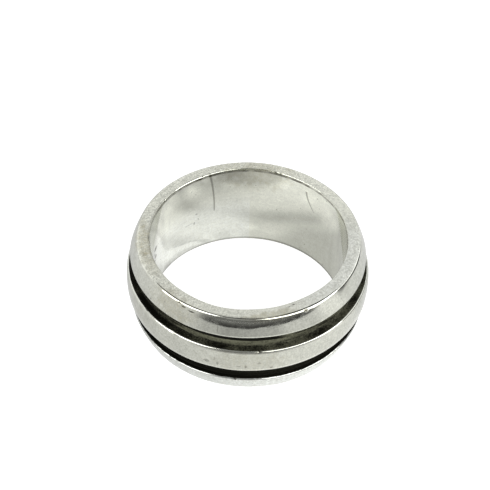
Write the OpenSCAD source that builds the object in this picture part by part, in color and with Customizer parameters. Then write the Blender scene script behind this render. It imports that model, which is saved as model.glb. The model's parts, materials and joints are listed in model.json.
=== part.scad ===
// Band ring in one piece of silver, lying on one of its flat end faces.
// Two channels run round the domed outside and leave three raised bands: upper, centre and lower.
// Millimetres. Z is the axis of the finger hole, and Z = 0 is the end face that the ring rests on.

/* [Finger hole] */
// Diameter of the finger hole
bore_d = 18; // [13:0.1:24]
// Radius of the rounding where the finger hole meets an end face
bore_edge_r = 0.2; // [0.05:0.05:0.3]

/* [Band] */
// Width of the ring, from one end face to the other
band_w = 9.2; // [8:0.1:10.4]
// Thickness of the silver at the top of the dome, halfway between the end faces
band_t = 2.2; // [1.8:0.05:3]
// Radius of the dome, measured across the width of the ring
dome_r = 10.5; // [9:0.1:30]
// Radius of the rounding where the dome meets an end face
rim_edge_r = 0.35; // [0.1:0.05:0.5]

/* [Channels] */
// Width of the raised centre band, between the two channels
centre_w = 2.6; // [1.6:0.1:3.2]
// Width of each channel
channel_w = 1.35; // [0.8:0.05:1.7]
// Depth of the channel floors below the top of the dome
channel_depth = 0.85; // [0.75:0.05:1.1]
// Radius of the rounding along the lips of the channels
lip_r = 0.2; // [0.1:0.05:0.3]

/* [Hidden] */

$fn = 180;

bore_r = bore_d / 2;
crown_r = bore_r + band_t;
floor_r = crown_r - channel_depth;

// Heights above mid-width of the channel's two walls and of the end face
inner_wall_h = centre_w / 2;
outer_wall_h = inner_wall_h + channel_w;
face_h = band_w / 2;

// The centre of the dome's arc lies this far out from the axis of the ring
dome_x = crown_r - dome_r;

// The corner cutters reach this many rounding radii past the centre of the rounding
cutter_reach = 2.5;

// The circle of each rounding stands this far proud of the two sides that it joins, so that it
// crosses them and doesn't just touch them
proud = 0.002;

// The dome, cut off by the end faces and the finger hole. X is the distance from the axis, and Y is
// the height above mid-width.
module plain_section() {
    intersection() {
        translate([dome_x, 0]) circle(r = dome_r);
        translate([bore_r, -face_h]) square([band_t + 1, band_w]);
    }
}

// The cross-section of the channel above the centre band
module channel_section() {
    translate([floor_r, inner_wall_h]) square([channel_depth + 1, channel_w]);
}

// Takes the sharp corner off the place where the dome meets a flat side at height edge_h, and leaves
// an arc of radius r that runs into both. The metal lies below the flat side where up is 1, and above
// it where up is -1.
module dome_corner(edge_h, up, r) {
    inset = r - proud;
    arc_h = edge_h - up * inset;
    arc_x = dome_x + sqrt(pow(dome_r - inset, 2) - pow(arc_h, 2));
    reach = cutter_reach * r;
    to_dome = [arc_x - dome_x, arc_h] / (dome_r - inset);
    translate([arc_x, arc_h]) difference() {
        polygon([[0, 0], [0, up * reach], [reach, up * reach], to_dome * reach]);
        circle(r = r);
    }
}

// Takes the sharp corner off the place where the finger hole meets the upper end face
module bore_corner(r) {
    inset = r - proud;
    translate([bore_r + inset, face_h - inset]) difference() {
        translate([-cutter_reach * r, 0]) square(cutter_reach * r);
        circle(r = r);
    }
}

// All that is cut away above mid-width
module upper_cuts() {
    channel_section();
    dome_corner(inner_wall_h, 1, lip_r);
    dome_corner(outer_wall_h, -1, lip_r);
    dome_corner(face_h, 1, rim_edge_r);
    bore_corner(bore_edge_r);
}

// The cross-section of the finished ring, alike above and below mid-width
module ring_section() {
    difference() {
        plain_section();
        upper_cuts();
        mirror([0, 1]) upper_cuts();
    }
}

// The whole ring: one turned piece of silver
module silver_band() {
    color("silver") translate([0, 0, face_h]) rotate_extrude() ring_section();
}

silver_band();
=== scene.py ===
"""A worn silver band ring, lying on a pale floor under soft studio light.

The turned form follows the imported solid. On top of it come the uneven roundings, dings and ripples of a ring
that has been worn, and a silver finish with dark, oxidised channels.
"""

import json
import math
from typing import NamedTuple

import bpy
import numpy as np
from bpy.props import FloatProperty, FloatVectorProperty, IntProperty, PointerProperty
from bpy.types import Operator, Panel, PropertyGroup
from mathutils import Matrix, Vector


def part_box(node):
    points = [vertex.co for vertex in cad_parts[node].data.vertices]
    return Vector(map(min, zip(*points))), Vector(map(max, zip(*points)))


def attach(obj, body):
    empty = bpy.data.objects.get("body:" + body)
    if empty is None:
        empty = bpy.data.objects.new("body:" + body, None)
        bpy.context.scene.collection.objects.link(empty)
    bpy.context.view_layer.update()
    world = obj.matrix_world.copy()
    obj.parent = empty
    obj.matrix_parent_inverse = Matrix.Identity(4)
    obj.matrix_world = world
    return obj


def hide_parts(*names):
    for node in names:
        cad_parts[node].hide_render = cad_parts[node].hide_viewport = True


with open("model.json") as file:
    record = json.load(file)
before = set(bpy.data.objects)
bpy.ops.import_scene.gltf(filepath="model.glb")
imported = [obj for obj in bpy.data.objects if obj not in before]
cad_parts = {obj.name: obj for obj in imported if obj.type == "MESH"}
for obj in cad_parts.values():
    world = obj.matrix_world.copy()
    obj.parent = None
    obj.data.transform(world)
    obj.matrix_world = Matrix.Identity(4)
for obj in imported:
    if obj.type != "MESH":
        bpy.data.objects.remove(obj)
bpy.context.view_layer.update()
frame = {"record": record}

bl_info = {
    "name": "Worn Band Ring",
    "version": (1, 0, 0),
    "blender": (4, 5, 0),
    "location": "3D View > Sidebar > Band Ring",
    "description": "Builds a worn silver band ring with two oxidised channels, and a pale stage for it",
    "category": "Add Mesh",
}

NODE = "silver_band"
MM = 0.001

BAND_LOW, BAND_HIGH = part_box(NODE)
BORE = next(mount for mount in frame["record"]["mounts"] if mount["name"] == "finger_hole")


class BandShape(PropertyGroup):
    """Sizes of the turned ring, and how far wear has changed them"""

    bore_radius: FloatProperty(
        name="Finger hole radius", description="Radius of the finger hole",
        default=BORE["dims"]["r_mm"] * MM, min=0.0065, max=0.012, unit="LENGTH", precision=5)
    crown_radius: FloatProperty(
        name="Outer radius", description="Radius of the ring at the top of its dome, halfway up",
        default=(BAND_HIGH[0] - BAND_LOW[0]) / 2, min=0.008, max=0.015, unit="LENGTH", precision=5)
    width: FloatProperty(
        name="Width", description="Distance from one end face to the other",
        default=BAND_HIGH[2] - BAND_LOW[2], min=0.008, max=0.0104, unit="LENGTH", precision=5)
    dome_radius: FloatProperty(
        name="Dome radius", description="Radius of the dome, measured across the ring's width",
        default=0.0105, min=0.009, max=0.03, unit="LENGTH", precision=5)
    centre_width: FloatProperty(
        name="Centre band width", description="Width of the raised band between the channels",
        default=0.0026, min=0.0016, max=0.0032, unit="LENGTH", precision=5)
    channel_width: FloatProperty(
        name="Channel width", description="Width of each channel",
        default=0.00135, min=0.0008, max=0.0017, unit="LENGTH", precision=5)
    channel_depth: FloatProperty(
        name="Channel depth", description="Depth of the channel floors below the top of the dome",
        default=0.00085, min=0.00075, max=0.0011, unit="LENGTH", precision=5)
    lip_rounding: FloatProperty(
        name="Lip rounding", description="Radius of the rounding along the upper and lower bands' lips",
        default=0.0002, min=0.0001, max=0.0003, unit="LENGTH", precision=5)
    centre_lip_rounding: FloatProperty(
        name="Centre lip rounding", description="Radius of the rounding along the lips of the centre band",
        default=0.00018, min=0.0001, max=0.0003, unit="LENGTH", precision=5)
    lip_shoulder: FloatProperty(
        name="Lip shoulder", description="Radius of the worn slope that leads to the centre band's lips",
        default=0.0009, min=0.0003, max=0.002, unit="LENGTH", precision=5)
    corner_rounding: FloatProperty(
        name="Channel corner rounding", description="Radius of the rounding in the channels' corners",
        default=0.00008, min=0.00001, max=0.0002, unit="LENGTH", precision=5)
    rim_rounding: FloatProperty(
        name="Rim rounding", description="Radius of the rounding where the dome meets an end face",
        default=0.00037, min=0.0001, max=0.0005, unit="LENGTH", precision=5)
    bore_rounding: FloatProperty(
        name="Bore rounding", description="Radius of the rounding where the finger hole meets an end face",
        default=0.0001, min=0.00005, max=0.0003, unit="LENGTH", precision=5)
    steps_round: IntProperty(
        name="Steps round", description="Columns of faces round the ring", default=540, min=96, max=540)
    ripple_depth: FloatProperty(
        name="Ripple depth", description="Height of the faint ripples that filing and wear leave",
        default=0.000004, min=0.0, max=0.00002, unit="LENGTH", precision=6)


class SilverFinish(PropertyGroup):
    """Colours and roughness of the silver and of the oxide in its channels"""

    silver: FloatVectorProperty(
        name="Silver", description="Colour of the bare silver", subtype="COLOR", size=3,
        default=(0.757, 0.765, 0.68), min=0.0, max=1.0)
    # Also lightens a painted reflection of the lit floor low on the left of the finger hole
    clean: FloatVectorProperty(
        name="Clean silver", description="Colour of the silver where it is clean", subtype="COLOR", size=3,
        default=(0.825, 0.847, 0.81), min=0.0, max=1.0)
    # Also the colour of a painted shade high at the back of the finger hole
    tarnish_and_shade: FloatVectorProperty(
        name="Tarnish", description="Colour of the faint brown tarnish", subtype="COLOR", size=3,
        default=(0.46, 0.43, 0.30), min=0.0, max=1.0)
    # Also the colour of the painted shade inside the finger hole
    dirt_and_shade: FloatVectorProperty(
        name="Dirt", description="Colour of the dirt in dents and scratches", subtype="COLOR", size=3,
        default=(0.09, 0.085, 0.065), min=0.0, max=1.0)
    oxide: FloatVectorProperty(
        name="Oxide", description="Colour of the oxidised channels", subtype="COLOR", size=3,
        default=(0.005, 0.005, 0.0034), min=0.0, max=1.0)
    thin_oxide: FloatVectorProperty(
        name="Thin oxide", description="Colour of the oxide where it is thin", subtype="COLOR", size=3,
        default=(0.135, 0.136, 0.094), min=0.0, max=1.0)
    gloss_blur: FloatProperty(
        name="Roughness", description="Roughness of the polished silver", subtype="FACTOR",
        default=0.05, min=0.02, max=0.6)
    oxide_blur: FloatProperty(
        name="Oxide roughness", description="Roughness of the oxidised channels", subtype="FACTOR",
        default=0.38, min=0.05, max=0.9)


class StudioStage(PropertyGroup):
    """The floor, the light and the camera"""

    floor_colour: FloatVectorProperty(
        name="Floor", description="Colour of the floor", subtype="COLOR", size=3,
        default=(0.40, 0.40, 0.40), min=0.0, max=1.0)
    floor_glow: FloatProperty(
        name="Floor glow", description="Radiance of the floor itself, which is lit from below",
        default=0.90, min=0.0)
    room_light: FloatProperty(
        name="Room light", description="Radiance of the pale walls all round", default=0.78, min=0.0)
    window_light: FloatProperty(
        name="Window light", description="Radiance of the two windows", default=2.0, min=0.0)
    camera_elevation: FloatProperty(
        name="Elevation", description="Camera's height above the horizon, seen from the ring",
        subtype="ANGLE", default=math.radians(45.8), min=0.0, max=math.pi / 2)
    camera_roll: FloatProperty(
        name="Roll", description="How far the camera is turned about its own view line",
        subtype="ANGLE", default=math.radians(1.8), min=-0.5, max=0.5)
    camera_distance: FloatProperty(
        name="Distance", description="From the camera to the middle of the ring",
        default=0.1301, min=0.05, max=2.0, unit="LENGTH")


def wave_sum(points, shortest, longest, count, seed):
    """Ripples in space, about 1 high: the sum of count plane waves, cos(k . p + phase).

    The wave vectors k point in random directions, and their lengths are 2 pi over a wavelength drawn between
    shortest and longest. points has x, y, z in its last axis."""
    rng = np.random.default_rng(seed)
    way = rng.normal(size=(count, 3))
    way /= np.linalg.norm(way, axis=1, keepdims=True)
    wavelength = rng.uniform(shortest, longest, count)
    phase = rng.uniform(0, 2 * np.pi, count)
    waves = points @ (way * (2 * np.pi / wavelength)[:, None]).T + phase
    return np.cos(waves).sum(axis=-1) * math.sqrt(2 / count)


def evened(count):
    """count numbers from 0 to 1, closer together at both ends: (1 - cos(pi t)) / 2."""
    return (1 - np.cos(np.linspace(0, np.pi, count))) / 2


def arc(centre, radius, start, stop, steps):
    """Points of an arc in the section: centre + radius (cos a, sin a), with a going from start to stop."""
    angle = start + (stop - start) * steps
    return centre[0] + radius * np.cos(angle), centre[1] + radius * np.sin(angle)


def line(start, stop, steps):
    """Points of a straight stretch of the section, from start to stop."""
    return start[0] + (stop[0] - start[0]) * steps, start[1] + (stop[1] - start[1]) * steps


def dome_rounding(shape, height, up, edge, shoulder=None, turn=0.0):
    """Two arcs that round the corner of the dome and a flat side. Returns the shoulder's centre, the edge's
    centre, the angle where the shoulder leaves the dome, and the angle where it meets the edge.

    The edge arc is tangent to the flat side at height. The shoulder arc is tangent to the edge arc, at the
    angle turn past the dome's own slope there, and to the dome: its centre lies dome_radius - shoulder away
    from the dome's. up is 1 where the metal lies below the flat side, and -1 where it lies above."""
    if shoulder is None:
        shoulder = edge
    meet = np.arcsin(height / shape.dome_radius) + up * turn
    dome_x = shape.crown_radius - shape.dome_radius
    shoulder_h = height - up * edge - (shoulder - edge) * np.sin(meet)
    to_dome = shape.dome_radius - shoulder
    shoulder_r = dome_x + np.sqrt(to_dome**2 - shoulder_h**2)
    edge_r = shoulder_r + (shoulder - edge) * np.cos(meet)
    return (shoulder_r, shoulder_h), (edge_r, height - up * edge), np.arcsin(shoulder_h / to_dome), meet


class Stretch(NamedTuple):
    """A piece of the section's outline"""

    path: tuple  # radius and height above mid-width, each as columns by points
    oxide: tuple = (0, 0)  # share of oxide at its start and at its end
    rubbed: tuple = (0, 0)  # how far hands have rubbed it bright, at its start and at its end


def half_section(shape, lip_in, lip_out, rim, bore_edge):
    """Half of the ring's section, from the top of the dome to the middle of the finger hole's wall.

    Each rounding is an array with one radius for each column, so the section changes round the ring. Returns
    radius, height above mid-width, oxide and rubbed, each as columns by points."""
    dome_centre = (shape.crown_radius - shape.dome_radius, 0.0)
    floor_r = shape.crown_radius - shape.channel_depth
    inner_h = shape.centre_width / 2
    outer_h = inner_h + shape.channel_width
    face_h = shape.width / 2
    fillet = shape.corner_rounding
    shoulder = shape.lip_shoulder
    turn = math.radians(20)  # the centre band's worn lips slope this much more than the dome
    in_wide, in_tight, in_angle, in_meet = dome_rounding(shape, inner_h, 1, lip_in, shoulder, turn)
    _, out_tight, out_angle, _ = dome_rounding(shape, outer_h, -1, lip_out)
    _, rim_tight, rim_angle, _ = dome_rounding(shape, face_h, 1, rim)
    bore_centre = (shape.bore_radius + bore_edge, face_h - bore_edge)
    corner_r = floor_r + fillet
    up = np.pi / 2
    dome = shape.dome_radius
    stretches = [
        Stretch(arc(dome_centre, dome, 0, in_angle, evened(9))),
        Stretch(arc(in_wide, shoulder, in_angle, in_meet, np.linspace(0, 1, 6)[1:]), rubbed=(0, 1)),
        Stretch(arc(in_tight, lip_in, in_meet, up, np.linspace(0, 1, 8)[1:]), (0, 1), (1, 1)),
        Stretch(line((in_tight[0], inner_h), (corner_r, inner_h), evened(4)[1:]), (1, 1)),
        Stretch(arc((corner_r, inner_h + fillet), fillet, -up, -np.pi, np.linspace(0, 1, 5)[1:]), (1, 1)),
        Stretch(line((floor_r, inner_h + fillet), (floor_r, outer_h - fillet), evened(6)[1:]), (1, 1)),
        Stretch(arc((corner_r, outer_h - fillet), fillet, np.pi, up, np.linspace(0, 1, 5)[1:]), (1, 1)),
        Stretch(line((corner_r, outer_h), (out_tight[0], outer_h), evened(4)[1:]), (1, 1)),
        Stretch(arc(out_tight, lip_out, -up, out_angle, np.linspace(0, 1, 8)[1:]), (1, 0), (0, 1)),
        Stretch(arc(dome_centre, dome, out_angle, rim_angle, evened(14)[1:])),
        Stretch(arc(rim_tight, rim, rim_angle, up, np.linspace(0, 1, 10)[1:]), rubbed=(1, 1)),
        Stretch(line((rim_tight[0], face_h), (bore_centre[0], face_h), evened(8)[1:])),
        Stretch(arc(bore_centre, bore_edge, up, np.pi, np.linspace(0, 1, 6)[1:]), rubbed=(1, 1)),
        Stretch(line((shape.bore_radius, bore_centre[1]), (shape.bore_radius, 0), 2 * evened(13)[1:7])),
    ]
    columns = len(rim)
    radius, height, oxide, rubbed = [], [], [], []
    for stretch in stretches:
        r, h = np.broadcast_arrays(*stretch.path)
        steps = r.shape[-1]
        radius.append(np.broadcast_to(r, (columns, steps)))
        height.append(np.broadcast_to(h, (columns, steps)))
        oxide.append(np.broadcast_to(np.linspace(*stretch.oxide, steps), (columns, steps)))
        rubbed.append(np.broadcast_to(np.linspace(*stretch.rubbed, steps), (columns, steps)))
    return np.hstack(radius), np.hstack(height), np.hstack(oxide), np.hstack(rubbed)


class Swelling(NamedTuple):
    """A place where the finger hole's upper edge has been pushed in or worn back"""

    azimuth: float  # degrees round from the front, towards +X
    spread: float  # half its length, degrees
    inward: float  # mm; less than 0 where the edge is worn back


SWELLINGS = [
    Swelling(-14, 26, -0.12),
    Swelling(33, 26, 0.13),
    Swelling(180, 32, -0.15),
]
RIM_WEAR = [
    Swelling(-84, 34, 0.26),
    Swelling(-150, 40, 0.08),
    Swelling(-22, 20, -0.09),
    Swelling(50, 30, -0.10),
    Swelling(17, 20, -0.09),
]
BORE_WEAR = [
    Swelling(-136, 24, 0.07),
]


def swell(azimuth, swellings):
    """How far the edge is pushed in at each azimuth, in metres: inward times cos^2 across each swelling."""
    total = np.zeros_like(azimuth)
    for swelling in swellings:
        away = (azimuth - math.radians(swelling.azimuth) + np.pi) % (2 * np.pi) - np.pi
        share = np.clip(away / math.radians(swelling.spread), -1, 1)
        total += swelling.inward * MM * np.cos(share * np.pi / 2) ** 2
    return total


class Ding(NamedTuple):
    """A dent, as an ellipsoid-shaped dip in the surface"""

    azimuth: float  # degrees round from the front, towards +X
    radius: float  # mm from the axis
    height: float  # mm above the floor
    long: float  # half length round the ring, mm
    wide: float  # half width across it, mm
    deep: float  # mm


DINGS = [
    Ding(-53.3, 10.95, 5.86, 0.22, 0.16, 0.04),
    Ding(-36.6, 11.05, 5.85, 0.50, 0.14, 0.025),
    Ding(-33.0, 11.12, 5.76, 0.40, 0.16, 0.02),
    Ding(-25.0, 11.14, 5.70, 0.20, 0.14, 0.01),
    Ding(6.5, 11.05, 5.86, 0.14, 0.18, 0.02),
    Ding(-34.5, 10.22, 9.02, 0.30, 0.14, 0.025),
    Ding(30.6, 10.20, 9.06, 0.30, 0.18, 0.025),
    Ding(35.0, 10.20, 9.05, 0.30, 0.10, 0.02),
    Ding(-74.0, 10.00, 9.12, 0.35, 0.15, 0.03),
    Ding(-67.0, 10.03, 9.10, 0.45, 0.14, 0.035),
    Ding(-60.0, 10.08, 9.10, 0.30, 0.12, 0.025),
    Ding(-54.0, 10.12, 9.10, 0.25, 0.12, 0.02),
    Ding(-4.1, 10.80, 1.80, 0.12, 0.14, 0.03),
    Ding(164.3, 9.05, 9.17, 0.16, 0.12, 0.06),
    Ding(161.0, 9.05, 9.17, 0.14, 0.10, 0.05),
    Ding(157.0, 9.05, 9.17, 0.30, 0.10, 0.03),
    Ding(-149.6, 9.05, 9.17, 0.18, 0.10, 0.05),
    Ding(-118.8, 9.05, 9.17, 0.20, 0.12, 0.05),
    Ding(-86.0, 9.04, 9.1, 0.50, 0.20, 0.05),
    Ding(-80.0, 9.02, 9.0, 0.35, 0.16, 0.07),
    Ding(-74.0, 9.02, 8.8, 0.30, 0.16, 0.06),
    Ding(-68.0, 9.05, 9.0, 0.30, 0.16, 0.04),
]


def ding_depth(points, dings):
    """How deep the dings reach at each point: deep (1 - d^2)^2 inside each one's ellipsoid, where d is the
    distance from its centre in half lengths and half widths."""
    depth = np.zeros(points.shape[:-1])
    for ding in dings:
        turn = math.radians(ding.azimuth)
        centre = np.array([ding.radius * math.sin(turn), -ding.radius * math.cos(turn), ding.height])
        along = np.array([math.cos(turn), math.sin(turn), 0.0])
        away = points / MM - centre
        round_ring = away @ along
        across2 = (away**2).sum(axis=-1) - round_ring**2
        d2 = (round_ring / ding.long) ** 2 + across2 / ding.wide**2
        depth += ding.deep * MM * np.clip(1 - d2, 0, None) ** 2
    return depth


def random_dings(shape, count, seed):
    """Small dings on the domed outside, all round the ring."""
    rng = np.random.default_rng(seed)
    azimuth = rng.uniform(0, 360, count)
    height = rng.uniform(0.5, shape.width / MM - 0.5, count)
    above_middle = height - shape.width / MM / 2
    dome = shape.dome_radius / MM
    radius = shape.crown_radius / MM - dome + np.sqrt(dome**2 - above_middle**2)
    size = rng.uniform(0.06, 0.16, count)
    return [
        Ding(a, r, h, s * 1.4, s, 0.02 * s)
        for a, r, h, s in zip(azimuth, radius, height, size, strict=True)
    ]


SWELL_ACROSS = 0.9  # mm; how far from the finger hole's wall the swellings reach
SWELL_DOWN = 2.4  # mm; how far below the upper end face they reach
SWING_LIMIT = 1.6  # where a sum of waves is cut off
FULL_DENT = 0.05  # mm; a dent as deep as this is darkest


def ring_surface(shape):
    """The worn ring as a closed grid, columns round the ring by points round the section: its points, and
    how much oxide, rubbing and denting there is at each.

    The point at azimuth a and section point (r, h) is (r sin a, -r cos a, h + half the width), pushed in
    along the surface's normal by the ripples and the dings. The swellings of the finger hole's upper edge
    come first, and fade with the distance from it."""
    azimuth = np.arange(shape.steps_round) * (2 * np.pi / shape.steps_round)
    circle = np.stack([np.sin(azimuth), -np.cos(azimuth), np.zeros_like(azimuth)], axis=-1)

    def uneven(base, share, seed):
        """One radius for each column: base, more or less by up to about share of it."""
        swing = wave_sum(circle, 0.5, 3.0, 24, seed)
        return (base * (1 + share * np.clip(swing, -SWING_LIMIT, SWING_LIMIT)))[:, None]

    halves = []
    for seed in (11, 23):
        halves.append(half_section(
            shape,
            lip_in=uneven(shape.centre_lip_rounding, 0.18, seed),
            lip_out=uneven(shape.lip_rounding, 0.14, seed + 1),
            rim=uneven(shape.rim_rounding, 0.14, seed + 2) + swell(azimuth, RIM_WEAR)[:, None],
            bore_edge=uneven(shape.bore_rounding, 0.30, seed + 3) + swell(azimuth, BORE_WEAR)[:, None],
        ))
    upper, lower = halves
    radius, height, oxide, rubbed = (
        np.hstack([above, sign * below[:, -2:0:-1]])
        for above, below, sign in zip(upper, lower, (1, -1, 1, 1), strict=True)
    )

    near_bore = np.clip(1 - (radius - shape.bore_radius) / (SWELL_ACROSS * MM), 0, 1)
    near_top = np.clip((height - shape.width / 2) / (SWELL_DOWN * MM) + 1, 0, 1)
    radius = radius - swell(azimuth, SWELLINGS)[:, None] * near_bore * near_top**2

    out = circle[:, None, :]
    points = out * radius[..., None]
    points[..., 2] = height + shape.width / 2
    round_ring = np.roll(points, -1, axis=0) - np.roll(points, 1, axis=0)
    round_section = np.roll(points, -1, axis=1) - np.roll(points, 1, axis=1)
    normal = np.cross(round_ring, round_section)
    normal /= np.linalg.norm(normal, axis=-1, keepdims=True)

    ripple = wave_sum(points, 2.0 * MM, 6.0 * MM, 48, 5) + 0.06 * wave_sum(points, 0.6 * MM, 1.4 * MM, 48, 6)
    dent = ding_depth(points, DINGS + random_dings(shape, count=50, seed=7))
    push = -shape.ripple_depth * (SWING_LIMIT + np.clip(ripple, -SWING_LIMIT, SWING_LIMIT)) - dent
    points = points + normal * push[..., None]
    points[..., 2] = np.clip(points[..., 2], 0, shape.width)
    return points, {"oxide": oxide, "rubbed": rubbed, "dent": np.clip(dent / (FULL_DENT * MM), 0, 1)}


def grid_mesh(name, points, attributes):
    """A mesh from a grid that is closed both ways, with one number for each point in each attribute."""
    columns, rows = points.shape[:2]
    index = np.arange(columns * rows).reshape(columns, rows)
    next_column = np.roll(index, -1, axis=0)
    corners = [index, next_column, np.roll(next_column, -1, axis=1), np.roll(index, -1, axis=1)]
    faces = np.stack(corners, axis=-1).reshape(-1, 4)
    mesh = bpy.data.meshes.new(name)
    mesh.from_pydata(points.reshape(-1, 3), [], faces)
    for key, values in attributes.items():
        layer = mesh.attributes.new(key, "FLOAT", "POINT")
        layer.data.foreach_set("value", values.astype(np.float32).ravel())
    mesh.polygons.foreach_set("use_smooth", np.ones(len(mesh.polygons), dtype=bool))
    mesh.update()
    return mesh


class Signal:
    """A shader socket that takes part in sums: an expression on signals and numbers adds its Math nodes"""

    def __init__(self, shader, socket):
        self.shader = shader
        self.socket = socket

    def maths(self, operation, *others, swapped=False):
        values = (*others, self) if swapped else (self, *others)
        node = self.shader.tree.nodes.new("ShaderNodeMath")
        node.operation = operation
        for socket, value in zip(node.inputs, values, strict=False):
            self.shader.feed(socket, value)
        return Signal(self.shader, node.outputs[0])

    def __add__(self, other):
        return self.maths("ADD", other)

    def __radd__(self, other):
        return self.maths("ADD", other, swapped=True)

    def __sub__(self, other):
        return self.maths("SUBTRACT", other)

    def __rsub__(self, other):
        return self.maths("SUBTRACT", other, swapped=True)

    def __mul__(self, other):
        return self.maths("MULTIPLY", other)

    def __rmul__(self, other):
        return self.maths("MULTIPLY", other, swapped=True)

    def __truediv__(self, other):
        return self.maths("DIVIDE", other)

    def __rtruediv__(self, other):
        return self.maths("DIVIDE", other, swapped=True)

    def __pow__(self, other):
        return self.maths("POWER", other)

    def __neg__(self):
        return self.maths("MULTIPLY", -1.0)

    def __abs__(self):
        return self.maths("ABSOLUTE")

    def rises(self, low, high):
        """0 below low, 1 above high, and a smooth climb between; low may be the larger."""
        return self.shader.add(
            "ShaderNodeMapRange", {"interpolation_type": "SMOOTHSTEP"},
            {"Value": self, "From Min": low, "From Max": high})

    def within(self, start, stop, soft):
        """1 between start and stop, and a smooth fall to 0 over soft on both sides."""
        return self.rises(start - soft, start) * self.rises(stop + soft, stop)


class Shader:
    """A node tree that is built by adding nodes"""

    def __init__(self, tree):
        self.tree = tree
        tree.nodes.clear()

    def feed(self, socket, value):
        if isinstance(value, Signal):
            self.tree.links.new(value.socket, socket)
        else:
            socket.default_value = value

    def add(self, kind, settings=None, sockets=None, output=None):
        """Adds a node: its settings are set first, then its sockets get values or links. A socket is named
        by its identifier or its name. Returns the output of that name, or the first enabled one."""
        node = self.tree.nodes.new(kind)
        for key, value in (settings or {}).items():
            setattr(node, key, value)
        for key, value in (sockets or {}).items():
            by_identifier = [s for s in node.inputs if s.identifier == key]
            self.feed(by_identifier[0] if by_identifier else node.inputs[key], value)
        shown = [s for s in node.outputs if s.enabled]
        socket = next((s for s in shown if s.name == output), shown[0] if shown else None)
        return Signal(self, socket) if socket else node

    def split(self, vector):
        """The three parts of a vector, as signals."""
        node = self.tree.nodes.new("ShaderNodeSeparateXYZ")
        self.feed(node.inputs[0], vector)
        return [Signal(self, socket) for socket in node.outputs]

    def blend(self, share, first, second):
        """A colour between first, where share is 0, and second, where it is 1."""
        return self.add(
            "ShaderNodeMix", {"data_type": "RGBA"},
            {"Factor_Float": share, "A_Color": first, "B_Color": second})

    def noise(self, place, scale, detail=3.0, roughness=0.5):
        """Noise about 0, mostly within 0.5 of it, with scale bumps for each unit of place."""
        value = self.add(
            "ShaderNodeTexNoise", {"normalize": True},
            {"Vector": place, "Scale": scale, "Detail": detail, "Roughness": roughness}, "Fac")
        return (value - 0.5) * 2

    def attribute(self, name):
        """One of the numbers that the mesh carries at each point."""
        return self.add("ShaderNodeAttribute", {"attribute_name": name}, output="Fac")

    def scaled(self, vector, factor):
        """A vector or colour times a number or a signal."""
        return self.add("ShaderNodeVectorMath", {"operation": "SCALE"}, {"Vector": vector, "Scale": factor})

    def object_mm(self):
        """The place on the object, in mm."""
        return self.scaled(self.add("ShaderNodeTexCoord", output="Object"), 1 / MM)

    def drawn(self, place, scale):
        """A place with its parts times those of scale. Where scale is small, a pattern is drawn out."""
        return self.add("ShaderNodeMapping", {"vector_type": "POINT"}, {"Vector": place, "Scale": scale})


def new_material(name):
    """A material with an empty node tree, and the shader that fills it."""
    material = bpy.data.materials.new(name)
    material.use_nodes = True
    return material, Shader(material.node_tree)


def rgba(colour):
    """A colour with alpha 1."""
    return (*colour, 1.0)


def compass(x, y):
    """Degrees round from the front, -Y, towards +X."""
    return x.maths("ARCTAN2", -y) * math.degrees(1)


class Scratches(NamedTuple):
    """Fine scratches along one direction"""

    turn: tuple  # radians about X, Y and Z
    length: float  # mm
    spacing: float  # mm
    width: float  # share of the spacing


SCRATCHES = [
    Scratches((0.3, 0.5, 0.2), 4.0, 0.16, 0.05),
    Scratches((1.2, -0.4, 0.9), 3.0, 0.14, 0.05),
    Scratches((-0.7, 0.9, 2.1), 5.0, 0.20, 0.04),
    Scratches((0.1, 1.4, -1.3), 3.5, 0.15, 0.05),
]


def hair_scratches(shader, place, turn, length, spacing, width):
    """1 along the scratches: thin lines where a long-drawn noise crosses its middle value."""
    drawn = shader.add(
        "ShaderNodeMapping", {"vector_type": "TEXTURE"},
        {"Vector": place, "Rotation": turn, "Scale": (length, spacing, spacing)})
    crossing = shader.noise(drawn, 1.0, detail=1.0)
    return abs(crossing).rises(width, 0.0)


class Hairline(NamedTuple):
    """A fine dark line scored into the wall of the finger hole"""

    top_azimuth: float  # degrees round from the front, towards +X
    foot_azimuth: float
    top: float  # mm above the floor
    foot: float
    bow: float  # degrees that its middle lies off the straight
    width: float  # mm


HAIRLINES = [
    Hairline(-154.7, -157.6, 9.1, 4.5, -0.8, 0.20),
    Hairline(143.6, 137.3, 8.1, 6.1, 1.2, 0.18),
]


def hairline_mask(at, hairline):
    """1 along a hairline. Its azimuth goes from the top one to the foot one, plus bow 4 t (1 - t), and its
    width narrows by half, where t is how far down the line a point lies."""
    down = (hairline.top - at.height) / (hairline.top - hairline.foot)
    along = hairline.top_azimuth + (hairline.foot_azimuth - hairline.top_azimuth) * down
    along = along + 4 * hairline.bow * down * (1 - down)
    away = abs(at.azimuth - along) * math.radians(1) * at.radius
    return (away / (hairline.width * (1 - 0.5 * down))).rises(1.0, 0.1) * down.within(0.0, 1.0, 0.06)


class Mark(NamedTuple):
    """A spot or a stain on the surface, as an ellipsoid that lies along the ring; one stain mark is painted
    shade
    """

    azimuth: float  # degrees round from the front, towards +X
    radius: float  # mm from the axis
    height: float  # mm above the floor
    long: float  # half length round the ring, mm
    wide: float  # half width across it, mm
    strength: float  # share of dirt or tarnish in its middle


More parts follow.
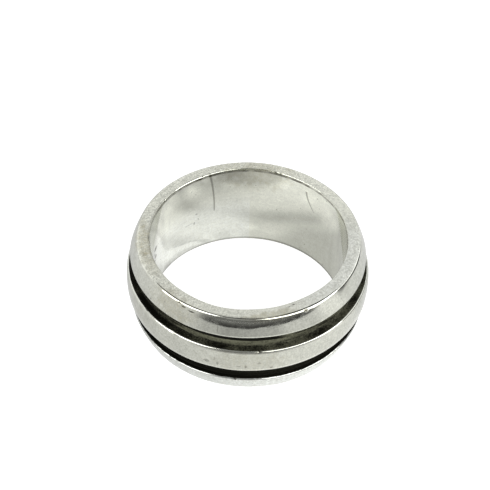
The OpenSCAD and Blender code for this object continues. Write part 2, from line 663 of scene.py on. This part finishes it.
SPECKS = [
    Mark(-17.5, 11.19, 4.16, 0.36, 0.26, 0.42),
    Mark(-13.8, 11.20, 4.70, 0.12, 0.30, 0.30),
    Mark(-12.4, 11.19, 4.10, 0.12, 0.34, 0.46),
    Mark(-2.8, 11.19, 4.07, 0.28, 0.16, 0.32),
    Mark(0.4, 11.19, 4.08, 0.16, 0.24, 0.50),
    Mark(6.6, 11.20, 4.50, 0.22, 0.20, 0.32),
    Mark(12.2, 11.17, 3.78, 0.18, 0.15, 0.46),
    Mark(-4.4, 10.78, 1.86, 0.18, 0.16, 0.9),
    Mark(-32.0, 10.28, 8.90, 0.30, 0.10, 0.9),
    Mark(-27.4, 10.33, 8.78, 0.38, 0.10, 0.95),
    Mark(-35.2, 11.03, 5.83, 0.50, 0.08, 0.6),
    Mark(-35.0, 10.20, 9.05, 0.24, 0.16, 0.6),
    Mark(30.2, 10.21, 9.04, 0.30, 0.22, 0.85),
    Mark(33.5, 10.27, 8.92, 0.75, 0.08, 0.8),
    Mark(6.5, 11.05, 5.88, 0.14, 0.18, 0.9),
    Mark(-13.2, 10.65, 7.90, 0.08, 0.42, 0.34),
    Mark(-43.0, 10.55, 8.20, 0.08, 0.46, 0.26),
    Mark(-51.9, 10.75, 7.57, 0.14, 0.14, 0.5),
    Mark(52.0, 10.55, 8.20, 0.16, 0.14, 0.22),
    Mark(23.0, 9.37, 9.20, 0.17, 0.07, 0.7),
    Mark(25.9, 9.27, 9.20, 0.17, 0.07, 0.8),
    Mark(-104.6, 9.00, 4.85, 0.48, 0.28, 0.9),
    Mark(-104.2, 9.00, 3.90, 0.38, 0.26, 0.8),
    Mark(-101.6, 9.00, 3.50, 0.44, 0.20, 0.9),
    Mark(-102.6, 9.00, 4.35, 0.26, 0.12, 0.7),
    Mark(-145.3, 9.00, 4.60, 0.18, 0.16, 0.45),
    Mark(-146.6, 9.00, 3.90, 0.09, 0.20, 0.36),
    Mark(-143.8, 9.00, 3.52, 0.14, 0.20, 0.45),
    Mark(-139.8, 9.00, 3.65, 0.60, 0.08, 0.28),
    Mark(141.7, 9.00, 3.40, 0.14, 0.13, 0.22),
    Mark(127.2, 9.00, 8.70, 0.20, 0.10, 0.35),
]
STAINS_AND_SHADE = [
    Mark(-84, 9.45, 9.2, 2.8, 1.1, 0.50),
    Mark(-66, 9.55, 9.2, 1.8, 0.9, 0.30),
    Mark(14, 9.95, 9.2, 3.0, 0.8, 0.50),
    Mark(-38, 10.40, 8.3, 3.2, 1.6, 0.40),
    Mark(2, 11.20, 4.6, 5.0, 1.7, 0.25),
    # painted shade: the top of the finger hole's back wall, where the silver reflects the shaded floor inside
    # the ring
    Mark(178, 9.00, 8.6, 4.5, 2.2, 0.40),
    Mark(-60, 10.9, 4.8, 2.4, 1.1, 0.16),
]


def mark_mask(shader, place, ragged, mark):
    """The mark's strength in its middle and 0 outside it: a smooth fall with d^2 + ragged, where d is the
    distance from the mark's centre in half lengths and half widths."""
    turn = math.radians(mark.azimuth)
    away = shader.add(
        "ShaderNodeMapping", {"vector_type": "TEXTURE"},
        {"Vector": place,
         "Location": (mark.radius * math.sin(turn), -mark.radius * math.cos(turn), mark.height),
         "Rotation": (0, 0, turn), "Scale": (mark.long, mark.wide, mark.wide)})
    d2 = shader.add(
        "ShaderNodeVectorMath", {"operation": "DOT_PRODUCT"}, {"Vector": away, "Vector_001": away}, "Value")
    return (d2 + ragged).rises(1.0, 0.0) * mark.strength


class Place(NamedTuple):
    """Where a point of the ring lies, as signals"""

    mm: Signal  # the point itself
    height: Signal  # mm above the floor
    radius: Signal  # mm from the axis
    azimuth: Signal  # degrees round from the front, towards +X
    in_bore: Signal  # 1 on the finger hole's wall
    on_top: Signal  # 1 on the upper end face
    on_dome: Signal  # 1 everywhere else
    low_band: Signal  # 1 on the lower band


def ring_place(s, shape):
    """Where each point lies. The masks follow the section's own heights and radii, with soft edges."""
    mm = s.object_mm()
    x, y, height = s.split(mm)
    radius = (x * x + y * y) ** 0.5
    top = shape.width / MM
    bore = shape.bore_radius / MM
    low_lip = (shape.width / 2 - shape.centre_width / 2 - shape.channel_width) / MM
    in_bore = radius.rises(bore + 0.25, bore + 0.1)
    on_top = height.rises(top - 0.12, top - 0.04)
    on_dome = (1 - in_bore) * (1 - on_top)
    low_band = on_dome * height.rises(low_lip + 0.25, low_lip - 0.15)
    return Place(mm, height, radius, compass(x, y), in_bore, on_top, on_dome, low_band)


class Grains(NamedTuple):
    """Noises of several sizes, each about 0"""

    clouds: Signal  # some 2 mm across
    patches: Signal  # 0.6 mm
    mottle: Signal  # 0.3 mm
    grain: Signal  # 0.15 mm
    turned: Signal  # fine streaks that run round the ring


def ring_grains(s, mm):
    """The noises that the finish is made of."""
    return Grains(
        clouds=s.noise(mm, 0.45, 2.0),
        patches=s.noise(mm, 1.6, 3.0),
        mottle=s.noise(mm, 3.6, 2.0, 0.6),
        grain=s.noise(mm, 7.0, 2.0, 0.7),
        turned=s.noise(s.drawn(mm, (0.3, 0.3, 3.0)), 1.3, 3.0, 0.6))


# Stretches round the ring: start, stop and how soft the ends are, in degrees round from the front, towards
# +X. SHEEN_FACE_BACK and STREAKED_BORE_SIDES are measured both ways round.
# Painted sheen on the oxide: lighter in front and on the right, and up the upper channel's wall in front
OXIDE_SHEEN_FRONT = (-22, 80, 24)
OXIDE_SHEEN_UP_WALL = (-18, 8, 20)
DARK_LEDGE = (-70, -8, 14)
DARK_UNDER_LIP = (-60, 14, 8)
CLEAN_FACE = (42, 90, 24)
# Painted sheen on the upper end face, on the right and at the back
SHEEN_FACE_RIGHT = (118, 172, 14)
SHEEN_FACE_BACK = (118, 158, 14)
# Streaks up the finger hole's sides: partly brushing, partly painted reflections of the far wall
STREAKED_BORE_SIDES = (98, 122, 8)


def oxide_colour(s, shape, finish, at, grains):
    """The channels' colour, from thick oxide to thin. In the lower channel it is thick, a little lighter on
    the right. In the upper one it is streaked, and a painted sheen makes it lighter in front and on the right,
    and lightest up the wall in front; it is darker on the ledge and under the lip on the left."""
    lip = (shape.width + shape.centre_width) / 2 / MM
    floor_r = (shape.crown_radius - shape.channel_depth) / MM
    in_upper = at.height.rises(lip - 0.1, lip)
    on_ledge = at.height.rises(lip + 0.10, lip + 0.03)
    up_wall = at.radius.rises(floor_r + 0.2, floor_r + 0.05) * at.height.rises(lip + 0.08, lip + 0.35)
    under_lip = at.height.rises(lip + 0.6, lip + 0.68) * at.azimuth.within(*DARK_UNDER_LIP)
    # the terms for the front are a painted sheen on the oxide; the noises are the oxide's own streaks
    upper = (
        0.25
        + 0.15 * at.azimuth.within(*OXIDE_SHEEN_FRONT)
        + 0.36 * up_wall * at.azimuth.within(*OXIDE_SHEEN_UP_WALL)
        - 0.28 * on_ledge * at.azimuth.within(*DARK_LEDGE)
        + 0.9 * grains.turned
        + 0.4 * grains.grain)
    lower = 0.10 * at.azimuth.rises(-20, 20)
    # the oxide's own thinness and streaks, with the painted sheen in front
    thin = lower * (1 - in_upper) + upper * in_upper + 0.2 * grains.grain
    thin = (thin * (1 - under_lip)).rises(0.0, 1.0)
    return s.blend(thin, rgba(finish.oxide), rgba(finish.thin_oxide))


def silver_colour(s, finish, at, grains):
    """The bare silver's colour: brighter where it is cleaner, stained in places, and lighter or darker with
    the noises.
    The grain is strongest on the left of the upper end face, and weaker inside the finger hole. Some light and
    shade is painted in: low on the left of the finger hole the lighter colour is partly a painted reflection
    of the lit floor, the upper end face has a painted sheen at the back and on the right, one stain high at
    the back of the finger hole is painted shade, and the streaks up the finger hole's sides are partly painted
    reflections.
    The lower band is a little darker."""
    rubbed = s.attribute("rubbed")
    clean = (
        0.5 * at.on_top * at.azimuth.within(*CLEAN_FACE)
        + 0.8 * at.low_band
        + 0.35 * at.on_dome * abs(at.azimuth).rises(40, 85)
        # low on the left of the finger hole: partly cleaner silver, partly a painted reflection of the lit
        # floor
        + 0.5 * at.in_bore * at.height.rises(6.5, 4.0) * at.azimuth.rises(-85, -100))
    # stain marks, and one painted shade high at the back of the finger hole
    stains_and_shade = sum(mark_mask(s, at.mm, 1.2 * grains.patches, mark) for mark in STAINS_AND_SHADE)
    far_left = abs(at.azimuth - 60).rises(60, 100)
    grain_level = 1.5 + (1.3 * far_left - 0.1) * at.on_top
    fine = 0.4 * grains.patches + 0.8 * grains.mottle + grain_level * grains.grain
    drawn_up = s.drawn(at.mm, (1.0, 1.0, 0.12))
    varied = (
        0.4 * grains.clouds
        + fine * (1 - 0.5 * at.in_bore)
        + 0.5 * (grains.patches + grains.mottle) * at.on_top
        + 0.3 * grains.turned * at.in_bore
        + 0.2 * s.noise(drawn_up, 4.5, 2.0) * at.on_dome
        # streaks up the finger hole's sides, partly painted reflections of the far wall
        + 0.9 * s.noise(drawn_up, 1.1, 1.0) * at.in_bore * abs(at.azimuth).within(*STREAKED_BORE_SIDES))
    # painted sheen: the upper end face lighter at the back and on the right; the lower band a little darker
    painted_sheen = (
        0.04 * at.on_top * abs(at.azimuth).within(*SHEEN_FACE_BACK)
        + 0.08 * at.on_top * at.azimuth.within(*SHEEN_FACE_RIGHT)
        - 0.07 * at.low_band)
    silver = s.blend(clean * (0.9 + grains.mottle), rgba(finish.silver), rgba(finish.clean))
    silver = s.blend(stains_and_shade * (0.8 + 1.2 * grains.mottle), silver, rgba(finish.tarnish_and_shade))
    return s.scaled(silver, 0.97 + painted_sheen + 0.06 * rubbed + 0.22 * varied)


def dirt_and_painted_shade(shape, at, grains):
    """Darkening inside the finger hole. Under its upper rim it is partly grime and partly a painted dark
    reflection;
    at its foot it is a painted shadow; faintly high on the left, in front of a line that leans back 3 degrees
    for each mm up, it is painted shade."""
    top = shape.width / MM
    under_rim = at.height.within(top - 0.34, top - 0.16, 0.06) * (0.6 + grains.patches)
    past_line = at.azimuth + 104.4 + 3 * (at.height - 5)
    in_corner = past_line.rises(0.0, 1.5) * at.azimuth.rises(-60, -70) * at.height.rises(5.6, 8.0)
    at_foot = at.height.rises(0.36, 0.12)
    return at.in_bore * (under_rim + 0.25 * in_corner + 0.6 * at_foot)


def worn_silver(finish, shape):
    """Polished silver gone hazy with wear, and nearly black oxide in the channels. Some shade, sheen and
    reflection is painted into the silver's colour.
    """
    material, s = new_material("worn_silver")
    at = ring_place(s, shape)
    grains = ring_grains(s, at.mm)

    scratched = s.noise(at.mm, 0.9, 2.0).rises(-0.25, 0.35)
    scratches = sum(hair_scratches(s, at.mm, *lines) for lines in SCRATCHES) * scratched
    cells = s.add("ShaderNodeTexVoronoi", {"feature": "F1"}, {"Vector": at.mm, "Scale": 1.3}, "Distance")
    pits = cells.rises(0.12, 0.04) * grains.patches.rises(-0.2, 0.2)
    scored = sum(hairline_mask(at, hairline) for hairline in HAIRLINES) * at.in_bore
    specks = sum(mark_mask(s, at.mm, 0.8 * grains.grain, mark) for mark in SPECKS)
    # darkening in pits, dents, hairlines and specks, and painted shade inside the finger hole
    dirt_and_shade = 0.5 * pits + 0.6 * s.attribute("dent") + 0.6 * scored + specks + dirt_and_painted_shade(shape, at, grains)
    dirt_and_shade = dirt_and_shade.maths("MINIMUM", 1.0)
    oxide = (s.attribute("oxide") + 0.20 * grains.patches + 0.16 * grains.grain).rises(0.55, 0.85)
    silver = s.blend(dirt_and_shade, silver_colour(s, finish, at, grains), rgba(finish.dirt_and_shade))
    colour = s.blend(oxide, silver, oxide_colour(s, shape, finish, at, grains))

    silver_blur = (
        finish.gloss_blur + 0.01 * grains.clouds
        + 0.02 * (grains.patches + scratches + at.in_bore) + 0.2 * dirt_and_shade)
    roughness = silver_blur * (1 - oxide) + (finish.oxide_blur + 0.08 * grains.grain) * oxide
    relief = (
        0.0002 * grains.grain + 0.0004 * grains.mottle + 0.004 * oxide * grains.grain
        - 0.0004 * scratches - 0.002 * pits - 0.003 * scored - 0.004 * specks)
    bump = s.add("ShaderNodeBump", {}, {"Height": relief, "Strength": 1.0, "Distance": MM})
    surface = s.add(
        "ShaderNodeBsdfPrincipled", {},
        {"Base Color": colour, "Metallic": 1 - oxide, "Roughness": roughness, "Specular IOR Level": 0.05,
         "Normal": bump})
    s.add("ShaderNodeOutputMaterial", {}, {"Surface": surface})
    return material


class BANDRING_OT_add_band(Operator):
    """Add the worn silver band"""

    bl_idname = "bandring.add_band"
    bl_label = "Silver Band"

    def execute(self, context):
        shape = context.scene.band_shape
        points, marks = ring_surface(shape)
        mesh = grid_mesh("worn_band", points, marks)
        mesh.materials.append(worn_silver(context.scene.silver_finish, shape))
        band = bpy.data.objects.new("worn_band", mesh)
        context.scene.collection.objects.link(band)
        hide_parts(NODE)
        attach(band, "root")
        return {"FINISHED"}


PHOTO_SIDE = 490  # pixels
RING_CENTRE_PIXEL = (247.68, 271.04)  # where the middle of the ring lies in the picture
FOCAL_PIXELS = 1400
SENSOR = 36.0  # mm


def camera_matrix(stage, target):
    """The camera's place and turn: it looks from -Y and above, and the target lies at its own pixel."""
    elevation = stage.camera_elevation
    right = Vector((1, 0, 0))
    up = Vector((0, math.sin(elevation), math.cos(elevation)))
    back = Vector((0, -math.cos(elevation), math.sin(elevation)))
    level = Matrix((right, up, back)).transposed()
    offset_x, offset_y = ((p - PHOTO_SIDE / 2) / FOCAL_PIXELS for p in RING_CENTRE_PIXEL)
    to_target = Vector((offset_x, -offset_y, -1)).normalized()
    aim = to_target.rotation_difference(Vector((0, 0, -1))).to_matrix()
    roll = Matrix.Rotation(stage.camera_roll, 3, "Z")
    matrix = (level @ roll @ aim).to_4x4()
    matrix.translation = Vector(target) + back * stage.camera_distance
    return matrix


def pale_floor(stage):
    """A pale sheet, lit from below as well as from the room."""
    material, s = new_material("pale_floor")
    surface = s.add(
        "ShaderNodeBsdfPrincipled", {},
        {"Base Color": rgba(stage.floor_colour), "Roughness": 0.9, "Specular IOR Level": 0.0,
         "Emission Color": rgba((1, 1, 1)), "Emission Strength": stage.floor_glow})
    s.add("ShaderNodeOutputMaterial", {}, {"Surface": surface})
    return material


class Pool(NamedTuple):
    """A round, soft-edged place on the floor inside the ring that looks lighter or darker in the silver"""

    x: float  # mm
    y: float
    radius: float
    gain: float  # more than 0 is lighter


POOLS = [
    Pool(2.7, 4.6, 1.7, 0.40),
    Pool(0.5, 5.6, 1.5, -0.28),
    Pool(-2.9, 1.3, 1.2, 0.3),
    Pool(1.9, 0.6, 1.6, 0.25),
    Pool(-4.8, 6.4, 1.8, -0.24),
    Pool(-2.3, 8.2, 1.6, -0.15),
    Pool(1.8, 7.6, 1.8, 0.25),
    Pool(-2.1, 4.9, 1.1, 0.20),
    Pool(0.1, 7.5, 0.8, 0.18),
    Pool(2.6, 4.5, 0.8, 0.16),
    Pool(3.5, 2.5, 0.6, 0.30),
]

# Sectors of the floor and the room: start, stop and how soft the ends are, in degrees round from the front,
# towards +X
DARK_FRONT = (-28, 48, 18)
MID_FRONT = (-14, 22, 12)
BETWEEN_WINDOWS = (-25, 15, 8)
PALE_LEFT = (-110, -62, 12)
PALE_BACK_LEFT = (-140, -104, 10)
PALE_FORWARD_RIGHT = (64, 74, 8)
DIM_RIGHT = (86, 125, 10)
DARK_RIGHT_FLOOR = (88, 122, 12)
DARK_RIGHT_FOOT = (80, 122, 8)
BRIGHT_RIGHT = (84, 128, 6)

DARK_START = 84  # mm from the ring's axis to the dark floor in front
SUNLIT_FROM = 11.1  # mm; the right window shines over the ring's wall onto the floor where y - x is more
SUNLIT_LEVEL = 1.1


def light_inside(x, y):
    """How light the floor inside the ring looks in the silver: the windows stand in front, the stronger one
    on the right, so the ring's own wall shades the front and the right."""
    light = 0.92 * (1 - 0.42 * x.rises(-2.5, 3.5)) * (1 - 0.28 * y.rises(2.4, -1.2))
    for pool in POOLS:
        away = ((x - pool.x) ** 2 + (y - pool.y) ** 2) ** 0.5
        light = light * (1 + pool.gain * away.rises(pool.radius, 0.0))
    return light


def light_outside(x, y, distance):
    """How light the floor round the ring looks in the silver: paler on the right, and a little dimmer
    straight out on the right. From some 22 mm on it is dimmer in front, and paler on the left and forward on
    the right."""
    bearing = compass(x, y)
    on_right = (x / distance).rises(-0.9, 0.6)
    light = 0.60 + 0.24 * on_right - (0.08 + 0.08 * on_right) * distance.rises(11.6, 13.5)
    far_change = (
        0.05 * bearing.within(*PALE_LEFT)
        + 0.05 * bearing.within(*PALE_FORWARD_RIGHT)
        - 0.17 * bearing.within(*DARK_FRONT)
        - 0.12 * bearing.within(*MID_FRONT))
    return light + far_change * distance.rises(22, 30) - 0.08 * bearing.within(*DIM_RIGHT)


def dim_card():
    """A card on the floor that only reflections see. It dims the floor as light_inside and light_outside
    say. Past DARK_START in front, and past some 40 mm on the right, it is the dim side of the room, with the
    level 0.05 + 0.22 (1 - DARK_START / distance)^2. A sunlit part of the floor lies behind on the left,
    inside the ring. It has a sharp edge, and fades a little behind that edge and towards the ring's wall."""
    material, s = new_material("dim_card")
    x, y, _ = s.split(s.object_mm())
    distance = (x * x + y * y) ** 0.5
    bearing = compass(x, y)
    outside = distance.rises(9.2, 10.0)
    light = light_outside(x, y, distance) * outside + light_inside(x, y) * (1 - outside)
    dark = (
        distance.rises(DARK_START - 2, DARK_START + 2) * bearing.within(*DARK_FRONT)
        + distance.rises(38, 52) * bearing.within(*DARK_RIGHT_FLOOR))
    past_edge = y - x - SUNLIT_FROM
    sunlit = past_edge.rises(-0.12, 0.12) * (1 - outside) * x.rises(-3.2, -4.6)
    faded = 0.25 * x.rises(-6.5, -7.8) + 0.22 * past_edge.rises(0.6, 1.1)
    level = (
        dark * (0.05 + 0.22 * (1 - DARK_START / distance) ** 2)
        + sunlit * SUNLIT_LEVEL * (1 - faded))
    clear = s.add("ShaderNodeBsdfTransparent")
    own_light = s.add("ShaderNodeEmission", {}, {"Color": level, "Strength": 1.0})
    share = 1 - light * (1 - dark) * (1 - sunlit)
    surface = s.add("ShaderNodeMixShader", {}, {"Fac": share, "Shader": clear, "Shader_001": own_light})
    s.add("ShaderNodeOutputMaterial", {}, {"Surface": surface})
    return material


def flat_square(name, half, height, material):
    """A square on the floor, or as high above it as height says."""
    mesh = bpy.data.meshes.new(name)
    corners = [(-half, -half, height), (half, -half, height), (half, half, height), (-half, half, height)]
    mesh.from_pydata(corners, [], [(0, 1, 2, 3)])
    mesh.materials.append(material)
    square = bpy.data.objects.new(name, mesh)
    bpy.context.scene.collection.objects.link(square)
    return square


def studio_world(stage):
    """Pale walls all round. Between the windows they are dimmer, and below the windows dark. A dark strip
    runs round the edge of the ceiling. Low on the right is a narrow bright place over a dark foot, behind on
    the left a pale place, and the low wall at the back is dimmer. Each part of the room covers those before
    it."""
    world = bpy.data.worlds.new("studio")
    world.use_nodes = True
    s = Shader(world.node_tree)
    x, y, z = s.split(s.add("ShaderNodeTexCoord", output="Generated"))
    elevation = z.maths("ARCSINE") * math.degrees(1)
    azimuth = compass(x, y)
    over_edge = elevation - (46 + 20 * abs(azimuth).rises(115, 155))
    level = stage.room_light
    for part, radiance in (
        (azimuth.within(*BETWEEN_WINDOWS), 0.32),
        (azimuth.within(*DARK_FRONT) * elevation.rises(12, 6), 0.17),
        (over_edge.rises(0, 4) * elevation.rises(80, 72), 0.09),
        (azimuth.within(*BRIGHT_RIGHT) * elevation.within(10, 30, 4), 1.3),
        (azimuth.within(*DARK_RIGHT_FOOT) * elevation.rises(17, 13), 0.06),
        (azimuth.within(*PALE_BACK_LEFT) * elevation.within(8, 34, 6), 0.98),
        (abs(azimuth).rises(134, 146) * elevation.rises(14, 7), 0.5),
    ):
        level = level * (1 - part) + radiance * part
    light = s.add("ShaderNodeBackground", {}, {"Color": level, "Strength": 1.0})
    s.add("ShaderNodeOutputWorld", {}, {"Surface": light})
    return world


def place_from(azimuth, elevation, distance):
    """A place seen from the ring at azimuth degrees from the front, towards +X, and elevation degrees up."""
    a, e = math.radians(azimuth), math.radians(elevation)
    return Vector((math.sin(a) * math.cos(e), -math.cos(a) * math.cos(e), math.sin(e))) * distance


class Window(NamedTuple):
    """A large soft lamp that faces the ring"""

    name: str
    azimuth: float  # degrees round from the front, towards +X
    elevation: float  # degrees above the horizon
    width: float  # metres
    height: float


WINDOWS = [
    Window("window_left", -54.5, 28, 0.55, 0.40),
    Window("window_right", 52, 28, 0.80, 0.40),
]
WINDOW_DISTANCE = 0.6  # metres


def add_window(window, radiance):
    """An area light of the window's size. A rectangle's power is 4 times its radiance times its area."""
    light = bpy.data.lights.new(window.name, "AREA")
    light.shape = "RECTANGLE"
    light.size = window.width
    light.size_y = window.height
    light.energy = 4 * radiance * window.width * window.height
    holder = bpy.data.objects.new(window.name, light)
    holder.location = place_from(window.azimuth, window.elevation, WINDOW_DISTANCE)
    holder.rotation_euler = holder.location.to_track_quat("Z", "Y").to_euler()
    bpy.context.scene.collection.objects.link(holder)


class BANDRING_OT_add_stage(Operator):
    """Add the pale floor, the soft light and the camera"""

    bl_idname = "bandring.add_stage"
    bl_label = "Stage"

    def execute(self, context):
        scene = context.scene
        stage = scene.studio_stage
        flat_square("pale_floor", 1.0, 0.0, pale_floor(stage))
        card = flat_square("dim_card", 0.9, 0.00002, dim_card())
        card.visible_camera = False
        card.visible_diffuse = False
        card.visible_shadow = False
        card.visible_transmission = False
        scene.world = studio_world(stage)
        for window in WINDOWS:
            add_window(window, stage.window_light)

        lens = bpy.data.cameras.new("camera")
        lens.sensor_width = SENSOR
        lens.lens = FOCAL_PIXELS / PHOTO_SIDE * SENSOR
        lens.clip_start = 0.005
        camera = bpy.data.objects.new("camera", lens)
        camera.matrix_world = camera_matrix(stage, (0, 0, scene.band_shape.width / 2))
        scene.collection.objects.link(camera)
        scene.camera = camera
        scene.view_settings.view_transform = "Standard"
        return {"FINISHED"}


class BANDRING_PT_panel(Panel):
    """Lists what this add-on builds"""

    bl_idname = "BANDRING_PT_panel"
    bl_label = "Band Ring"
    bl_space_type = "VIEW_3D"
    bl_region_type = "UI"
    bl_category = "Band Ring"

    def draw(self, context):
        scene = context.scene
        for title, settings, operator in (
            ("Band", scene.band_shape, BANDRING_OT_add_band),
            ("Finish", scene.silver_finish, None),
            ("Stage", scene.studio_stage, BANDRING_OT_add_stage),
        ):
            box = self.layout.box()
            box.label(text=title)
            for key in settings.bl_rna.properties.keys():
                if key not in ("rna_type", "name"):
                    box.prop(settings, key)
            if operator:
                box.operator(operator.bl_idname)


CLASSES = (
    BandShape, SilverFinish, StudioStage,
    BANDRING_OT_add_band, BANDRING_OT_add_stage, BANDRING_PT_panel)


def register():
    for cls in CLASSES:
        bpy.utils.register_class(cls)
    bpy.types.Scene.band_shape = PointerProperty(type=BandShape)
    bpy.types.Scene.silver_finish = PointerProperty(type=SilverFinish)
    bpy.types.Scene.studio_stage = PointerProperty(type=StudioStage)


def unregister():
    del bpy.types.Scene.studio_stage
    del bpy.types.Scene.silver_finish
    del bpy.types.Scene.band_shape
    for cls in reversed(CLASSES):
        bpy.utils.unregister_class(cls)


def main():
    register()
    bpy.ops.bandring.add_band()
    bpy.ops.bandring.add_stage()


if __name__ == "__main__":
    main()
